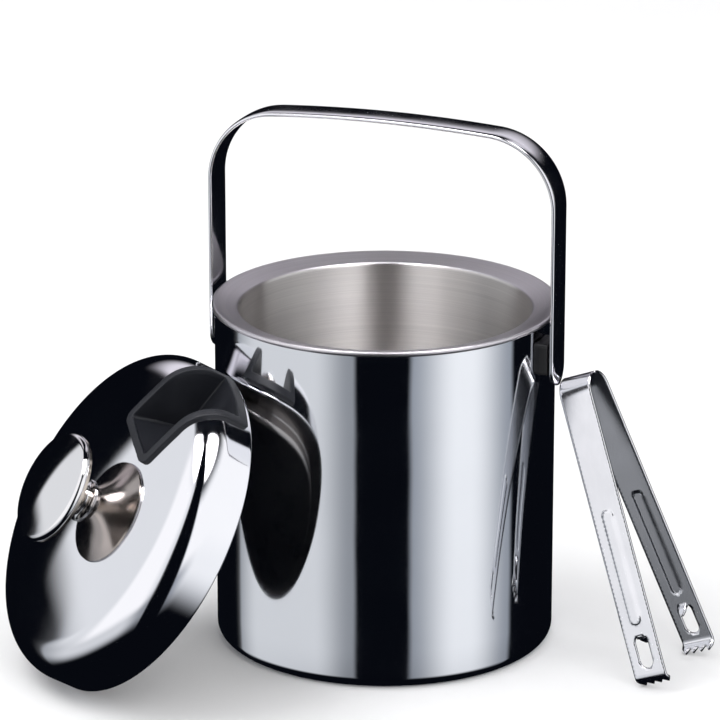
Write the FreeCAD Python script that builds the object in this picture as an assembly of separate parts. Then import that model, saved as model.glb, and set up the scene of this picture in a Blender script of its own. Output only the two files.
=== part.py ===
import FreeCAD, Part
import os
from math import asin, atan2, cos, degrees, pi, radians, sin, sqrt

# Double-walled steel ice bucket with a strap bail, its domed lid leaning against the wall and its
# sprung tongs leaning against the bail. Millimetres, +Z up. The origin is the centre of the bucket's
# flat underside, and X is the bail's pivot axis.

V = FreeCAD.Vector
Z_AXIS = V(0, 0, 1)
X_AXIS = V(1, 0, 0)
Y_AXIS = V(0, 1, 0)
ORIGIN = V(0, 0, 0)

# ---- driving dimensions: bucket ----
BODY_R = 70.0              # outside of the outer shell
SHEET = 0.8                # sheet steel of shell, liner and lid
RIM_TOP_Z = 143.8          # highest line of the flared rim
CORNER_R = 5.0             # rounded lower corner of the shell
FOOT_R = 57.0              # opening in the shell's turned-in foot, filled by the base plate
BASE_T = 1.0               # base plate
LINER_R = 60.0             # inside of the bowl
LINER_FLOOR_Z = 9.0        # inside floor of the bowl
LINER_CORNER_R = 9.0
LIP_DROP = 2.2             # the satin lip falls towards the bowl
BEAD_R = 1.1               # rolled outer edge of the lip
BEAD_OUT = 1.2             # how far the bead stands out of the shell
SHELL_TOP_Z = RIM_TOP_Z - 2 * BEAD_R - 0.2

# ---- driving dimensions: bail and its pivots ----
PIVOT_Z = 128.0
BAIL_HALF_SPAN = 75.8      # outside of the legs
BAIL_TOP_Z = 222.0
BAIL_CORNER_R = 31.0
BAIL_ARCH = 1.5            # rise of the top bar
STRAP_W = 15.4
STRAP_T = 2.0
LEG_END_Z = 116.0
BLOCK_W = 15.0             # black plastic block, along Y
BLOCK_H = 13.2
BLOCK_FACE_X = 72.85
BLOCK_SINK = 1.6           # corner radius of the block
PIN_R = 2.5
PIN_CLEARANCE = 0.05       # radial, in the block's bore
PIN_HEAD_R = 4.2
PIN_HEAD_T = 1.2
PIN_HEAD_X = 65.9
WASHER_R = 5.4
WASHER_T = 0.8
SCREW_R = 1.25
SCREW_HEAD_R = 2.1
SCREW_HEAD_T = 1.0
SCREW_SPACING = 10.6
SCREW_DEPTH = 0.8          # material left over the screw in the block
SLOT_W = 0.6
SLOT_DEPTH = 0.4

# ---- driving dimensions: lid, in its own frame with z along its axis ----
LID_R = 70.5
LID_SKIRT = 11.8           # height of the upright edge
SHOULDER_R = 14.8
CROWN_SLOPE = radians(9.5) # slope where the shoulder meets the shallow crown
HEM_T = 1.6
HEM_H = 1.8
HEM_ROUND = 0.8            # rounded lower corner of the hem
PAN_R = 58.4               # plug that sits in the bucket's mouth
PAN_DROP = 5.0
PAN_CORNER_R = 3.0
POCKET_IN_X = 33.4         # inner end of the pocket's frame
POCKET_HALF_W = 16.8
FRAME_W = 3.6
FRAME_T = 1.5              # the frame stands this proud of the dome
FRAME_ROUND = 4.0          # the frame's two inner corners, seen from above
FRAME_LOW_Z = 2.8          # lower edge of the frame's outer bar, on the skirt
POCKET_WALL = 1.4
POCKET_FLOOR_Z = 7.4       # floor of the pocket, level with the top of the outer bar
POCKET_FLOOR_T = 1.2
POCKET_BACK_RUN = 5.7      # the back wall slopes outwards this far on its way down
POCKET_ROUND = 1.6         # corners between the back wall and the side walls

# ---- driving dimensions: knob on the lid ----
KNOB_R = 23.4
KNOB_BASE_R = 9.0
KNOB_BASE_EDGE = 0.7       # upright edge of the foot
KNOB_NECK_R = 6.4
KNOB_BASE_TOP_Z = 33.4
KNOB_NECK_TOP_Z = 34.6
KNOB_SEAM_Z = 45.2
KNOB_TOP_Z = 50.4
KNOB_RIM_H = 0.8           # upright part of the cap's rim
KNOB_ROUND = 2.2           # corner radius of the cap's rim
KNOB_STEP = 0.5            # the lower half stands this far inside the cap's rim
KNOB_LAND = 1.4            # upright part of the lower half
KNOB_FLARE_R = 14.4        # a point on the flare of the lower half, and its height over the neck
KNOB_FLARE_H = 5.9
KNOB_SHEET = 1.0
KNOB_SCREW_R = 2.4
KNOB_HOLE_R = 2.6
KNOB_HEAD_R = 4.4
KNOB_HEAD_T = 2.6
KNOB_SLOT_W = 1.2
KNOB_SLOT_DEPTH = 1.0
KNOB_WASHER_R = 7.0
KNOB_WASHER_T = 1.0
KNOB_WASHER_GAP = 0.1      # the crown's curve clears the washer's edge
KNOB_NUT_FLATS = 9.0
KNOB_NUT_T = 4.0
KNOB_THREAD_OUT = 0.6      # end of the screw beyond the nut

# ---- how the lid leans ----
LID_TILT = 58.6            # between the lid's axis and the vertical
LID_AZIMUTH = -134.0       # compass direction that the lid's top faces, from +X
LID_SPIN = 159.2           # turns the pocket to the upper right of the leaning lid
LID_STAND_OFF = 106.9      # from the bucket's axis to the middle of the lid's underside
LID_STAND_AZIMUTH = -134.25
GROUND_GAP = 0.03          # loose pieces stand this clear of the ground

# ---- driving dimensions: tongs, in their own frame with z up the arms and y across the gap ----
TONGS_LENGTH = 127.5
TONGS_W = 14.6
TONGS_T = 1.0
BOW_R = 7.9                # outside of the bow
ARM_SPLAY = radians(7.4)
TIP_BEND = radians(42.0)
TIP_LENGTH = 5.5
TOOTH_COUNT = 4
TOOTH_DEPTH = 2.6
SPLIT = 0.01               # half the gap between the arms at the top of the bow
RIB_W = 5.2
RIB_RISE = 0.5
RIB_WALL = 0.6             # the groove behind the rib is this much smaller all round
RIB_LOW = 22.0             # heights along the arm, from its tip bend
RIB_HIGH = 70.0
HOLE_W = 6.2
HOLE_LOW = 4.0
HOLE_HIGH = 17.5
PRONG_W = 3.6
PRONG_LENGTH = 6.0
PRONG_BEND = radians(50.0)

# ---- how the tongs lean ----
TONGS_TILT = 21.8
TONGS_TURN = -8.0
TONGS_TOP_X = 83.2         # middle of the bow
TONGS_TOP_Y = 2.5


# ---- helpers ----
def rz(r, z):
    return V(r, 0, z)


def line(a, b):
    return Part.LineSegment(a, b).toShape()


def arc(a, mid, b):
    return Part.Arc(a, mid, b).toShape()


def arc_about(centre, radius, start, end):
    """Arc in the XZ plane about centre (x, z), angles in radians from +X towards +Z."""
    points = []
    for angle in (start, (start + end) / 2, end):
        points.append(rz(centre[0] + radius * cos(angle), centre[1] + radius * sin(angle)))
    return arc(*points)


def chain(*points):
    return [line(a, b) for a, b in zip(points, points[1:])]


def closed_face(edges):
    return Part.Face(Part.Wire(Part.__sortEdges__(edges)))


def turned(edges):
    """Solid of revolution about Z from a closed outline in the XZ half-plane."""
    return closed_face(edges).revolve(ORIGIN, Z_AXIS, 360)


def box(low, high):
    return Part.makeBox(high[0] - low[0], high[1] - low[1], high[2] - low[2], V(*low))


def rod(radius, start, end):
    axis = end - start
    return Part.makeCylinder(radius, axis.Length, start, axis)


def sided(side, shape):
    """The right-hand shape itself, or its half-turn copy on the left."""
    if side == "right":
        return shape
    return shape.rotated(ORIGIN, Z_AXIS, 180)


# ---- bucket ----
def outer_shell():
    inner_r = BODY_R - SHEET
    edges = chain(rz(inner_r, CORNER_R), rz(inner_r, SHELL_TOP_Z),
                  rz(BODY_R, SHELL_TOP_Z), rz(BODY_R, CORNER_R))
    centre = (BODY_R - CORNER_R, CORNER_R)
    edges.append(arc_about(centre, CORNER_R, 0, -pi / 2))
    edges += chain(rz(centre[0], 0), rz(FOOT_R, 0), rz(FOOT_R, SHEET), rz(centre[0], SHEET))
    edges.append(arc_about(centre, CORNER_R - SHEET, -pi / 2, 0))
    shell = turned(edges)
    for side in ("right", "left"):
        hole = rod(PIN_R + 0.5, V(BODY_R - 5, 0, PIVOT_Z), V(BODY_R + 2, 0, PIVOT_Z))
        shell = shell.cut(sided(side, hole))
        for y in (-SCREW_SPACING / 2, SCREW_SPACING / 2):
            hole = rod(SCREW_R + 0.15, V(BODY_R - 5, y, PIVOT_Z), V(BODY_R + 2, y, PIVOT_Z))
            shell = shell.cut(sided(side, hole))
    return shell


def inner_liner():
    """Bowl, satin lip and the rolled edge that closes over the shell."""
    bead_x = BODY_R + BEAD_OUT - BEAD_R
    bead_z = RIM_TOP_Z - BEAD_R
    lip_in_x = LINER_R + 1.6
    lip_in_z = RIM_TOP_Z - LIP_DROP
    floor_low_z = LINER_FLOOR_Z - SHEET
    outer_r = LINER_R + SHEET
    centre = (LINER_R - LINER_CORNER_R, LINER_FLOOR_Z + LINER_CORNER_R)
    edges = chain(rz(0, floor_low_z), rz(centre[0], floor_low_z))
    edges.append(arc_about(centre, LINER_CORNER_R + SHEET, -pi / 2, 0))
    edges += chain(rz(outer_r, centre[1]), rz(outer_r, lip_in_z - 2.0))
    edges += chain(rz(outer_r, lip_in_z - 2.0), rz(lip_in_x + 0.4, lip_in_z - SHEET))
    edges += chain(rz(lip_in_x + 0.4, lip_in_z - SHEET), rz(BODY_R - SHEET - 0.4, SHELL_TOP_Z),
                   rz(bead_x, SHELL_TOP_Z), rz(bead_x, bead_z - BEAD_R))
    edges.append(arc_about((bead_x, bead_z), BEAD_R, -pi / 2, pi / 2))
    edges += chain(rz(bead_x, RIM_TOP_Z), rz(lip_in_x, lip_in_z))
    edges.append(arc(rz(lip_in_x, lip_in_z), rz(LINER_R + 0.45, lip_in_z - 0.55),
                     rz(LINER_R, lip_in_z - 1.8)))
    edges += chain(rz(LINER_R, lip_in_z - 1.8), rz(LINER_R, centre[1]))
    edges.append(arc_about(centre, LINER_CORNER_R, 0, -pi / 2))
    edges += chain(rz(centre[0], LINER_FLOOR_Z), rz(0, LINER_FLOOR_Z), rz(0, floor_low_z))
    return turned(edges)


def base_plate():
    return rod(FOOT_R, V(0, 0, 0), V(0, 0, BASE_T))


# ---- pivots ----
def pivot_block(side):
    """Rounded plastic block, hollowed to the shell's curve, with the pin's bore and two screw holes."""
    half_w = BLOCK_W / 2
    half_h = BLOCK_H / 2
    block = box((BODY_R - 3, -half_w, PIVOT_Z - half_h), (BLOCK_FACE_X, half_w, PIVOT_Z + half_h))
    corners = [e for e in block.Edges if abs(e.tangentAt(e.FirstParameter).x) > 0.99]
    block = block.makeFillet(BLOCK_SINK, corners)
    block = block.cut(rod(BODY_R, V(0, 0, PIVOT_Z - BLOCK_H), V(0, 0, PIVOT_Z + BLOCK_H)))
    bore_r = PIN_R + PIN_CLEARANCE
    block = block.cut(rod(bore_r, V(BODY_R - 5, 0, PIVOT_Z), V(BLOCK_FACE_X + 1, 0, PIVOT_Z)))
    for y in (-SCREW_SPACING / 2, SCREW_SPACING / 2):
        screw_end = V(BLOCK_FACE_X - SCREW_DEPTH, y, PIVOT_Z)
        block = block.cut(rod(SCREW_R, V(BODY_R - 5, y, PIVOT_Z), screw_end))
    return sided(side, block)


def block_screws(side):
    """Two pan-head screws, put in from inside the double wall."""
    screws = []
    head_x = BODY_R - SHEET - 0.5
    end_x = head_x - SCREW_HEAD_T
    for y in (-SCREW_SPACING / 2, SCREW_SPACING / 2):
        shank = rod(SCREW_R, V(head_x, y, PIVOT_Z), V(BLOCK_FACE_X - SCREW_DEPTH, y, PIVOT_Z))
        head = rod(SCREW_HEAD_R, V(end_x, y, PIVOT_Z), V(head_x, y, PIVOT_Z))
        slot = box((end_x - 1, y - SCREW_HEAD_R - 1, PIVOT_Z - SLOT_W / 2),
                   (end_x + SLOT_DEPTH, y + SCREW_HEAD_R + 1, PIVOT_Z + SLOT_W / 2))
        screws.append(sided(side, head.fuse(shank).cut(slot).removeSplitter()))
    return Part.makeCompound(screws)


def pivot_pin(side):
    """Pin welded to the inner face of the leg, with its head inside the double wall."""
    leg_face = BAIL_HALF_SPAN - STRAP_T
    shank = rod(PIN_R, V(PIN_HEAD_X, 0, PIVOT_Z), V(leg_face, 0, PIVOT_Z))
    head = rod(PIN_HEAD_R, V(PIN_HEAD_X, 0, PIVOT_Z), V(PIN_HEAD_X + PIN_HEAD_T, 0, PIVOT_Z))
    return sided(side, shank.fuse(head).removeSplitter())


def pivot_washer(side):
    leg_face = BAIL_HALF_SPAN - STRAP_T
    ring = rod(WASHER_R, V(leg_face - WASHER_T, 0, PIVOT_Z), V(leg_face, 0, PIVOT_Z))
    hole = rod(PIN_R, V(leg_face - 2, 0, PIVOT_Z), V(leg_face + 1, 0, PIVOT_Z))
    return sided(side, ring.cut(hole))


# ---- bail ----
def bail_outline(inset):
    """Edges of the bail's curve from the left leg's end over the top to the right leg's end."""
    half_span = BAIL_HALF_SPAN - inset
    corner_x = BAIL_HALF_SPAN - BAIL_CORNER_R
    arch_r = (corner_x ** 2 + BAIL_ARCH ** 2) / (2 * BAIL_ARCH)
    arch_z = BAIL_TOP_Z - arch_r
    corner_z = arch_z + sqrt((arch_r - BAIL_CORNER_R) ** 2 - corner_x ** 2)
    meet = atan2(corner_z - arch_z, corner_x)
    corner_r = BAIL_CORNER_R - inset
    right_end = rz(half_span, LEG_END_Z)
    left_end = rz(-half_span, LEG_END_Z)
    edges = [line(left_end, rz(-half_span, corner_z)),
             arc_about((-corner_x, corner_z), corner_r, pi, pi - meet),
             arc_about((0, arch_z), arch_r - inset, pi - meet, meet),
             arc_about((corner_x, corner_z), corner_r, meet, 0),
             line(rz(half_span, corner_z), right_end)]
    return edges, left_end, right_end


def bail_strap():
    outer, outer_left, outer_right = bail_outline(0)
    inner, inner_left, inner_right = bail_outline(STRAP_T)
    outline = outer + inner + [line(outer_left, inner_left), line(outer_right, inner_right)]
    strap = closed_face(outline).extrude(V(0, STRAP_W, 0))
    strap.translate(V(0, -STRAP_W / 2, 0))
    round_z = LEG_END_Z + STRAP_W / 2
    reach = BAIL_HALF_SPAN + 5
    keep = rod(STRAP_W / 2, V(-reach, 0, round_z), V(reach, 0, round_z))
    keep = keep.fuse(box((-reach, -STRAP_W / 2, round_z), (reach, STRAP_W / 2, BAIL_TOP_Z + 5)))
    strap = strap.common(keep).removeSplitter()
    long_edges = [e for e in strap.Edges if abs(abs(e.Vertexes[0].Y) - STRAP_W / 2) < 0.01
                  and abs(abs(e.Vertexes[-1].Y) - STRAP_W / 2) < 0.01 and e.Length > STRAP_T + 1]
    return strap.makeFillet(0.5, long_edges)


# ---- lid ----
CROWN_MEET_R = LID_R - SHOULDER_R + SHOULDER_R * sin(CROWN_SLOPE)
CROWN_MEET_Z = LID_SKIRT + SHOULDER_R * cos(CROWN_SLOPE)
CROWN_R = CROWN_MEET_R / sin(CROWN_SLOPE)
CROWN_CENTRE_Z = CROWN_MEET_Z - CROWN_R * cos(CROWN_SLOPE)
LID_TOP_Z = CROWN_CENTRE_Z + CROWN_R


def crown_z(r):
    return CROWN_CENTRE_Z + sqrt(CROWN_R ** 2 - r ** 2)


def dome_edges(offset):
    """The lid's outer curve moved outwards by offset, from the axis down to the top of the skirt."""
    slope_point = pi / 2 - CROWN_SLOPE
    return [arc_about((0, CROWN_CENTRE_Z), CROWN_R + offset, pi / 2, slope_point),
            arc_about((LID_R - SHOULDER_R, LID_SKIRT), SHOULDER_R + offset, slope_point, 0)]


def dome_band(inner, outer, low_z):
    """Sheet between two offsets of the dome, with its skirt running down to low_z."""
    edges = dome_edges(outer) + dome_edges(inner)
    edges.append(line(rz(0, LID_TOP_Z + inner), rz(0, LID_TOP_Z + outer)))
    edges += chain(rz(LID_R + outer, LID_SKIRT), rz(LID_R + outer, low_z),
                   rz(LID_R + inner, low_z), rz(LID_R + inner, LID_SKIRT))
    return turned(edges)


def dome_filled(low_z):
    edges = dome_edges(0)
    edges += chain(rz(LID_R, LID_SKIRT), rz(LID_R, low_z), rz(0, low_z), rz(0, LID_TOP_Z))
    return turned(edges)


def lid_dome():
    hem_in = LID_R - HEM_T
    round_in = LID_R - HEM_ROUND
    edges = chain(rz(round_in, 0), rz(hem_in, 0), rz(hem_in, HEM_H), rz(LID_R, HEM_H),
                  rz(LID_R, HEM_ROUND))
    edges.append(arc_about((round_in, HEM_ROUND), HEM_ROUND, 0, -pi / 2))
    dome = dome_band(-SHEET, 0, HEM_H).fuse(turned(edges))
    dome = dome.cut(pocket_block(POCKET_WALL))
    dome = dome.cut(rod(KNOB_HOLE_R, V(0, 0, LID_TOP_Z - 5), V(0, 0, LID_TOP_Z + 5)))
    return dome.removeSplitter()


def lid_pan():
    """Closing pan under the dome: a flange inside the hem and a shallow plug."""
    flange_low = HEM_H
    top = flange_low + SHEET
    inner_r = PAN_R - SHEET
    centre = (PAN_R - PAN_CORNER_R, -PAN_DROP + PAN_CORNER_R)
    edges = chain(rz(0, -PAN_DROP), rz(centre[0], -PAN_DROP))
    edges.append(arc_about(centre, PAN_CORNER_R, -pi / 2, 0))
    edges += chain(rz(PAN_R, centre[1]), rz(PAN_R, flange_low), rz(LID_R - SHEET, flange_low),
                   rz(LID_R - SHEET, top), rz(inner_r, top), rz(inner_r, centre[1]))
    edges.append(arc_about(centre, PAN_CORNER_R - SHEET, 0, -pi / 2))
    edges += chain(rz(centre[0], -PAN_DROP + SHEET), rz(0, -PAN_DROP + SHEET), rz(0, -PAN_DROP))
    return turned(edges)


def slab(low_x, half_w, low_z, round_r):
    """Block open to the outside of the lid, its two inner corners rounded as seen from above."""
    block = box((low_x, -half_w, low_z), (LID_R + 10, half_w, LID_TOP_Z + 10))
    corners = [e for e in block.Edges if abs(e.tangentAt(e.FirstParameter).z) > 0.99
               and abs(e.Vertexes[0].X - low_x) < 0.01]
    return block.makeFillet(round_r, corners)


def pocket_block(wall):
    """The pocket's hollow grown by wall, with its sloping back."""
    low_x = POCKET_IN_X + FRAME_W - wall
    half_w = POCKET_HALF_W - FRAME_W + wall
    low_z = POCKET_FLOOR_Z - (POCKET_FLOOR_T if wall else 0)
    slope_z = crown_z(POCKET_IN_X) - 1
    back = Part.Face(Part.makePolygon([rz(low_x - 1, slope_z), rz(low_x, slope_z),
                                       rz(low_x + POCKET_BACK_RUN, low_z),
                                       rz(low_x + POCKET_BACK_RUN, low_z - 1),
                                       rz(low_x - 1, low_z - 1), rz(low_x - 1, slope_z)]))
    wedge = back.extrude(V(0, 2 * half_w + 2, 0))
    wedge.translate(V(0, -half_w - 1, 0))
    return slab(low_x, half_w, low_z, POCKET_ROUND).cut(wedge)


def tongs_pocket():
    """Plastic pocket let into the dome: floor, walls and the frame that follows the dome."""
    body = pocket_block(POCKET_WALL).common(dome_filled(0))
    frame = slab(POCKET_IN_X, POCKET_HALF_W, FRAME_LOW_Z, FRAME_ROUND)
    frame = frame.common(dome_band(0, FRAME_T, FRAME_LOW_Z))
    return body.fuse(frame).cut(pocket_block(0)).removeSplitter()


# ---- knob ----
def knob_base():
    """Small bell-shaped foot that sits on the crown."""
    edge_z = crown_z(KNOB_BASE_R)
    top_z = edge_z + KNOB_BASE_EDGE
    waist = rz(KNOB_NECK_R + 0.25 * (KNOB_BASE_R - KNOB_NECK_R), top_z + 0.3 * (KNOB_BASE_TOP_Z - top_z))
    edges = [arc(rz(KNOB_HOLE_R, crown_z(KNOB_HOLE_R)), rz(KNOB_BASE_R / 2, crown_z(KNOB_BASE_R / 2)),
                 rz(KNOB_BASE_R, edge_z)),
             line(rz(KNOB_BASE_R, edge_z), rz(KNOB_BASE_R, top_z)),
             arc(rz(KNOB_BASE_R, top_z), waist, rz(KNOB_NECK_R, KNOB_BASE_TOP_Z))]
    edges += chain(rz(KNOB_NECK_R, KNOB_BASE_TOP_Z), rz(KNOB_HOLE_R, KNOB_BASE_TOP_Z),
                   rz(KNOB_HOLE_R, crown_z(KNOB_HOLE_R)))
    return turned(edges)


def knob_neck():
    low = V(0, 0, KNOB_BASE_TOP_Z)
    high = V(0, 0, KNOB_NECK_TOP_Z)
    ring = rod(KNOB_NECK_R - 0.6, low, high)
    return ring.cut(rod(KNOB_HOLE_R, low, high))


def knob_shell():
    """Lower half of the knob, a thin trumpet that flares from the neck to the seam."""
    t = KNOB_SHEET
    low = KNOB_NECK_TOP_Z
    neck_r = KNOB_NECK_R + 1
    edge_r = KNOB_R - KNOB_STEP
    land_z = KNOB_SEAM_Z - KNOB_LAND
    flare_z = low + KNOB_FLARE_H
    edges = [line(rz(KNOB_HOLE_R, low), rz(neck_r, low)),
             arc(rz(neck_r, low), rz(KNOB_FLARE_R, flare_z), rz(edge_r, land_z))]
    edges += chain(rz(edge_r, land_z), rz(edge_r, KNOB_SEAM_Z), rz(edge_r - t, KNOB_SEAM_Z),
                   rz(edge_r - t, land_z + t / 2))
    edges.append(arc(rz(edge_r - t, land_z + t / 2), rz(KNOB_FLARE_R, flare_z + t), rz(neck_r, low + t)))
    edges += chain(rz(neck_r, low + t), rz(KNOB_HOLE_R, low + t), rz(KNOB_HOLE_R, low))
    return turned(edges)


def knob_cap():
    """Upper half of the knob, a shallow dome with a rounded rim."""
    t = KNOB_SHEET
    shoulder_r = KNOB_R - KNOB_ROUND
    shoulder_z = KNOB_SEAM_Z + KNOB_RIM_H + KNOB_ROUND
    rise = KNOB_TOP_Z - shoulder_z
    crown_r = (shoulder_r ** 2 + rise ** 2) / (2 * rise)
    centre_z = KNOB_TOP_Z - crown_r
    meet = atan2(shoulder_z - centre_z, shoulder_r)
    round_centre = (shoulder_r, shoulder_z - KNOB_ROUND)
    edges = chain(rz(KNOB_R - t, KNOB_SEAM_Z), rz(KNOB_R, KNOB_SEAM_Z), rz(KNOB_R, round_centre[1]))
    edges.append(arc_about(round_centre, KNOB_ROUND, 0, pi / 2))
    edges.append(arc_about((0, centre_z), crown_r, meet, pi / 2))
    edges += chain(rz(0, KNOB_TOP_Z), rz(0, KNOB_TOP_Z - t))
    edges.append(arc_about((0, centre_z - t), crown_r, pi / 2, meet))
    edges.append(arc_about(round_centre, KNOB_ROUND - t, pi / 2, 0))
    edges += chain(rz(KNOB_R - t, round_centre[1]), rz(KNOB_R - t, KNOB_SEAM_Z))
    return turned(edges)


def hexagon(flats, low_z, high_z):
    corner = flats / sqrt(3)
    points = [V(corner * cos(k * pi / 3), corner * sin(k * pi / 3), low_z) for k in range(7)]
    return Part.Face(Part.makePolygon(points)).extrude(V(0, 0, high_z - low_z))


def knob_nut():
    low = KNOB_NECK_TOP_Z + KNOB_SHEET
    nut = hexagon(KNOB_NUT_FLATS, low, low + KNOB_NUT_T)
    return nut.cut(rod(KNOB_SCREW_R, V(0, 0, low - 1), V(0, 0, low + KNOB_NUT_T + 1)))


def knob_washer():
    top = LID_TOP_Z - SHEET - KNOB_WASHER_GAP
    ring = rod(KNOB_WASHER_R, V(0, 0, top - KNOB_WASHER_T), V(0, 0, top))
    return ring.cut(rod(KNOB_HOLE_R, V(0, 0, top - 5), V(0, 0, top + 1)))


def knob_screw():
    seat = LID_TOP_Z - SHEET - KNOB_WASHER_GAP - KNOB_WASHER_T
    low = seat - KNOB_HEAD_T
    end_z = KNOB_NECK_TOP_Z + KNOB_SHEET + KNOB_NUT_T + KNOB_THREAD_OUT
    head = rod(KNOB_HEAD_R, V(0, 0, low), V(0, 0, seat))
    shank = rod(KNOB_SCREW_R, V(0, 0, seat), V(0, 0, end_z))
    slot = box((-KNOB_SLOT_W / 2, -KNOB_HEAD_R, low - 1),
               (KNOB_SLOT_W / 2, KNOB_HEAD_R, low + KNOB_SLOT_DEPTH))
    return head.fuse(shank).cut(slot).removeSplitter()


def lean_lid(shape):
    """From the lid's own frame to where it leans, its lowest edge on the ground."""
    turn = FreeCAD.Rotation(Z_AXIS, LID_AZIMUTH) * FreeCAD.Rotation(Y_AXIS, LID_TILT)
    turn = turn * FreeCAD.Rotation(Z_AXIS, LID_SPIN)
    tilt = radians(LID_TILT)
    lift = (LID_R - HEM_ROUND) * sin(tilt) + HEM_ROUND * (1 - cos(tilt)) + GROUND_GAP
    stand = radians(LID_STAND_AZIMUTH)
    place = V(LID_STAND_OFF * cos(stand), LID_STAND_OFF * sin(stand), lift)
    moved = shape.copy()
    moved.Placement = FreeCAD.Placement(place, turn).multiply(moved.Placement)
    return moved


# ---- tongs ----
BOW_CENTRE_Z = TONGS_LENGTH - BOW_R
ARM_TOP = (BOW_R * cos(ARM_SPLAY), BOW_CENTRE_Z + BOW_R * sin(ARM_SPLAY))
TIP_TURN = pi / 2 - ARM_SPLAY - TIP_BEND
BEND_Z = TIP_LENGTH * sin(TIP_TURN)
ARM_LENGTH = (ARM_TOP[1] - BEND_Z) / cos(ARM_SPLAY)
BEND = (ARM_TOP[0] + ARM_LENGTH * sin(ARM_SPLAY), BEND_Z)


def yz(y, z):
    return V(0, y, z)


def along_arm(shape):
    """From a frame at the tip bend, z up the arm and y out of its outer face, to the tongs' frame."""
    moved = shape.copy()
    turn = FreeCAD.Rotation(X_AXIS, degrees(ARM_SPLAY))
    moved.Placement = FreeCAD.Placement(V(0, BEND[0], BEND[1]), turn).multiply(moved.Placement)
    return moved


def capsule(width, low, high, depth_from, depth_to):
    r = width / 2
    centre_low = low + r
    centre_high = high - r
    body = box((-r, depth_from, centre_low), (r, depth_to, centre_high))
    for z in (centre_low, centre_high):
        body = body.fuse(rod(r, V(0, depth_from, z), V(0, depth_to, z)))
    return body.removeSplitter()


def arm_outline():
    """Side view of one arm: half the bow, the straight arm and the tip bent inwards."""
    def bow_point(radius, angle):
        return yz(radius * cos(angle), BOW_CENTRE_Z + radius * sin(angle))

    bow_in_r = BOW_R - TONGS_T
    top_out = asin(1) - asin(SPLIT / BOW_R)
    top_in = asin(1) - asin(SPLIT / bow_in_r)
    outer_bend = yz(BEND[0], BEND[1])
    tip_dir = (-cos(TIP_TURN), -sin(TIP_TURN))
    tip_out = yz(BEND[0] + TIP_LENGTH * tip_dir[0], BEND[1] + TIP_LENGTH * tip_dir[1])
    tip_in = yz(tip_out.y - TONGS_T * sin(TIP_TURN), tip_out.z + TONGS_T * cos(TIP_TURN))
    mitre = TONGS_T / cos(TIP_BEND / 2)
    lean = TIP_BEND / 2 - ARM_SPLAY
    inner_bend = yz(BEND[0] - mitre * cos(lean), BEND[1] + mitre * sin(lean))
    inner_top = bow_point(bow_in_r, ARM_SPLAY)
    outer_top = bow_point(BOW_R, ARM_SPLAY)
    middle = (top_out + ARM_SPLAY) / 2
    return [arc(bow_point(BOW_R, top_out), bow_point(BOW_R, middle), outer_top),
            line(outer_top, outer_bend), line(outer_bend, tip_out), line(tip_out, tip_in),
            line(tip_in, inner_bend), line(inner_bend, inner_top),
            arc(inner_top, bow_point(bow_in_r, middle), bow_point(bow_in_r, top_in)),
            line(bow_point(bow_in_r, top_in), bow_point(BOW_R, top_out))]


def tooth_cuts():
    """Triangular notches that leave pointed teeth across the bent tip."""
    pitch = TONGS_W / TOOTH_COUNT
    tip = V(0, BEND[0] - TIP_LENGTH * cos(TIP_TURN), BEND[1] - TIP_LENGTH * sin(TIP_TURN))
    inward = V(0, -cos(TIP_TURN), -sin(TIP_TURN))
    across = V(0, sin(TIP_TURN), -cos(TIP_TURN))
    cuts = []
    for k in range(TOOTH_COUNT + 1):
        x = -TONGS_W / 2 + k * pitch
        mouth = tip + inward * 0.1 - across * 3
        points = [mouth + V(x - pitch / 2, 0, 0), mouth + V(x + pitch / 2, 0, 0),
                  mouth + V(x, 0, 0) - inward * TOOTH_DEPTH]
        wedge = Part.Face(Part.makePolygon(points + points[:1])).extrude(across * 6)
        cuts.append(wedge)
    return cuts


def prong():
    """Tab struck out of the hole's upper end and bent inwards."""
    tab = box((-PRONG_W / 2, -TONGS_T, -PRONG_LENGTH), (PRONG_W / 2, 0, 1.0))
    tab.rotate(V(0, 0, 0), X_AXIS, -degrees(PRONG_BEND))
    tab.translate(V(0, 0, HOLE_HIGH - 0.2))
    return along_arm(tab)


def tongs_arm():
    """The arm on the +Y side of the gap."""
    arm = closed_face(arm_outline()).extrude(V(TONGS_W, 0, 0))
    arm.translate(V(-TONGS_W / 2, 0, 0))
    raised = along_arm(capsule(RIB_W, RIB_LOW, RIB_HIGH, -TONGS_T / 2, RIB_RISE))
    sunk = along_arm(capsule(RIB_W - 2 * RIB_WALL, RIB_LOW + RIB_WALL, RIB_HIGH - RIB_WALL,
                             -TONGS_T - 1, -TONGS_T + RIB_RISE))
    hole = along_arm(capsule(HOLE_W, HOLE_LOW, HOLE_HIGH, -TONGS_T - 2, 2))
    arm = arm.fuse(raised).cut(sunk).cut(hole).fuse(prong())
    for cut in tooth_cuts():
        arm = arm.cut(cut)
    return arm.removeSplitter()


def lean_tongs(shape):
    """From the tongs' own frame to where they stand on their tips against the bail."""
    turn = FreeCAD.Rotation(Z_AXIS, TONGS_TURN) * FreeCAD.Rotation(Y_AXIS, -TONGS_TILT)
    top = turn.multVec(V(0, 0, TONGS_LENGTH))
    tooth_x = TONGS_W / 2 - TONGS_W / TOOTH_COUNT / 2
    lift = tooth_x * sin(radians(TONGS_TILT)) + GROUND_GAP
    place = V(TONGS_TOP_X - top.x, TONGS_TOP_Y - top.y, lift)
    moved = shape.copy()
    moved.Placement = FreeCAD.Placement(place, turn).multiply(moved.Placement)
    return moved


def near_arm(arm):
    return lean_tongs(arm.rotated(ORIGIN, Z_AXIS, 180))


def write(name, shape):
    assert shape.isValid(), name
    shape.exportStep("parts/" + name + ".step")


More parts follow.
